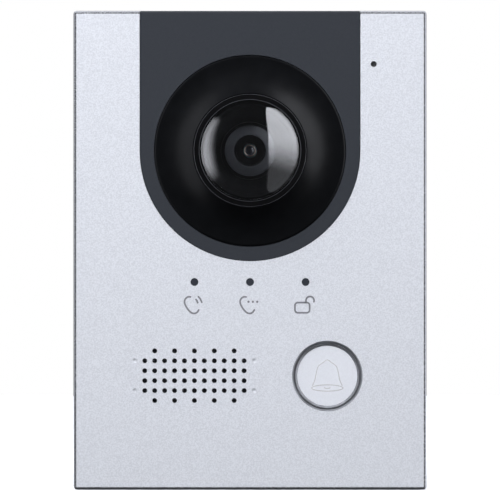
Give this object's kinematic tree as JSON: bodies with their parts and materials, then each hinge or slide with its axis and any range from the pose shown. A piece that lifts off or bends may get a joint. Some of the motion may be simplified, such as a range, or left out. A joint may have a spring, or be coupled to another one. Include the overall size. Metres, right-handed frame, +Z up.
{
  "type": "video door station",
  "caption": "Wall-mounted video intercom door panel with a domed camera in a U-shaped bezel, indicator lights, a speaker grille, a round call button and a hang-on wall bracket",
  "frame": {"origin": "the middle of the flat back face that lies against the wall", "axes": "+X to the right seen from the front, +Y into the wall, +Z up; the front faces -Y"},
  "size_m": [0.096, 0.0285, 0.13],
  "materials": {
    "bracket_steel": "galvanised sheet steel",
    "screw_steel": "plain stainless steel",
    "panel_aluminium": "fine bead-blasted, clear anodised",
    "housing_plastic": "fine spark-eroded texture",
    "seal_rubber": "moulded silicone rubber",
    "seal_foam": "closed-cell foam",
    "bezel_plastic": "satin anthracite lacquer",
    "dish_plastic": "polished black",
    "dome_clear": "polished clear polycarbonate",
    "lens_black": "matt black anodised",
    "shroud_plastic": "satin dark grey",
    "lens_glass": "coated optical glass",
    "inner_plastic": "plain moulded",
    "filter_glass": "thin coated filter glass",
    "chip_black": "moulded epoxy",
    "board_green": "green solder resist",
    "led_clear": "clear epoxy on a white body",
    "trim_metal": "fine turned",
    "button_metal": "fine satin",
    "light_pipe": "smoked clear plastic",
    "lead_black": "soft PVC sleeve",
    "mesh_black": "woven polyester mesh",
    "magnet_steel": "nickel-plated",
    "cone_paper": "pressed pulp",
    "coil_copper": "enamelled copper wire",
    "lead_red": "soft PVC sleeve",
    "jack_plastic": "moulded nylon",
    "contact_gold": "gold-plated",
    "terminal_green": "moulded nylon",
    "ribbon_white": "flat film cable",
    "socket_ivory": "moulded nylon",
    "plunger_plastic": "plain acetal"
  },
  "bodies": {
    "bracket": {"wall_bracket": "bracket_steel", "lock_screw": "screw_steel"},
    "station": {"front_panel": "panel_aluminium", "rear_housing": "housing_plastic", "housing_seal": "seal_rubber", "wall_seal": "seal_foam", "housing_screws": "screw_steel", "camera_bezel": "bezel_plastic", "bezel_gasket": "seal_rubber", "bezel_screws": "screw_steel", "camera_dish": "dish_plastic", "dome_cover": "dome_clear", "dome_retainer": "dish_plastic", "dome_gasket": "seal_rubber", "lens_baffle": "lens_black", "lens_shroud": "shroud_plastic", "lens_barrel": "lens_black", "front_lens": "lens_glass", "lens_holder": "inner_plastic", "ir_cut_housing": "inner_plastic", "image_sensor": "chip_black", "camera_board": "board_green", "camera_frame": "inner_plastic", "camera_screws": "screw_steel", "infrared_board": "board_green", "infrared_leds": "led_clear", "button_trim_ring": "trim_metal", "button_guide": "inner_plastic", "button_seal": "seal_rubber", "button_switch": "chip_black", "indicator_light_guide": "light_pipe", "indicator_leds": "led_clear", "microphone_boot": "seal_rubber", "microphone_capsule": "screw_steel", "microphone_lead": "lead_black", "dust_mesh": "mesh_black", "speaker_gasket": "seal_foam", "speaker_frame": "inner_plastic", "speaker_magnet": "magnet_steel", "speaker_surround": "seal_rubber", "speaker_lead": "lead_red", "main_board": "board_green", "board_components": "chip_black", "board_screws": "screw_steel", "network_jack": "jack_plastic", "jack_contacts": "contact_gold", "terminal_block": "terminal_green", "terminal_screws": "screw_steel", "camera_flat_cable": "ribbon_white", "flat_cable_sockets": "socket_ivory", "tamper_switch": "chip_black", "tamper_spring": "screw_steel"},
    "call_button": {"button_cap": "button_metal"},
    "button_switch_plunger": {"switch_plunger": "inner_plastic"},
    "tamper_plunger_body": {"tamper_plunger": "plunger_plastic"},
    "speaker_moving_coil": {"speaker_cone": "cone_paper", "voice_coil": "coil_copper"},
    "ir_cut_filter": {"ir_cut_carriage": "inner_plastic", "ir_cut_glass": "filter_glass"}
  },
  "joints": [
    {"name": "hang_slide", "type": "slide", "parent": "bracket", "child": "station", "axis": [0, 0, 1], "range_m": [0, 0.005]},
    {"name": "call_button_press", "type": "slide", "parent": "station", "child": "call_button", "axis": [0, 1, 0], "range_m": [0, 0.0006], "stiffness_N_per_m": 4000, "springref_m": -0.0003},
    {"name": "switch_plunger_press", "type": "slide", "parent": "station", "child": "button_switch_plunger", "axis": [0, 1, 0], "range_m": [0, 0.0006]},
    {"name": "tamper_plunger_slide", "type": "slide", "parent": "station", "child": "tamper_plunger_body", "axis": [0, 1, 0], "range_m": [0, 0.0019], "stiffness_N_per_m": 300, "deforming": ["tamper_spring"]},
    {"name": "speaker_cone_travel", "type": "slide", "parent": "station", "child": "speaker_moving_coil", "axis": [0, -1, 0], "range_m": [-0.0003, 0.0003], "stiffness_N_per_m": 2000},
    {"name": "ir_cut_shift", "type": "slide", "parent": "station", "child": "ir_cut_filter", "axis": [-1, 0, 0], "range_m": [0, 0.0056]}
  ],
  "couplings": [
    {"joint": "switch_plunger_press", "follows": "call_button_press", "ratio": 1}
  ]
}
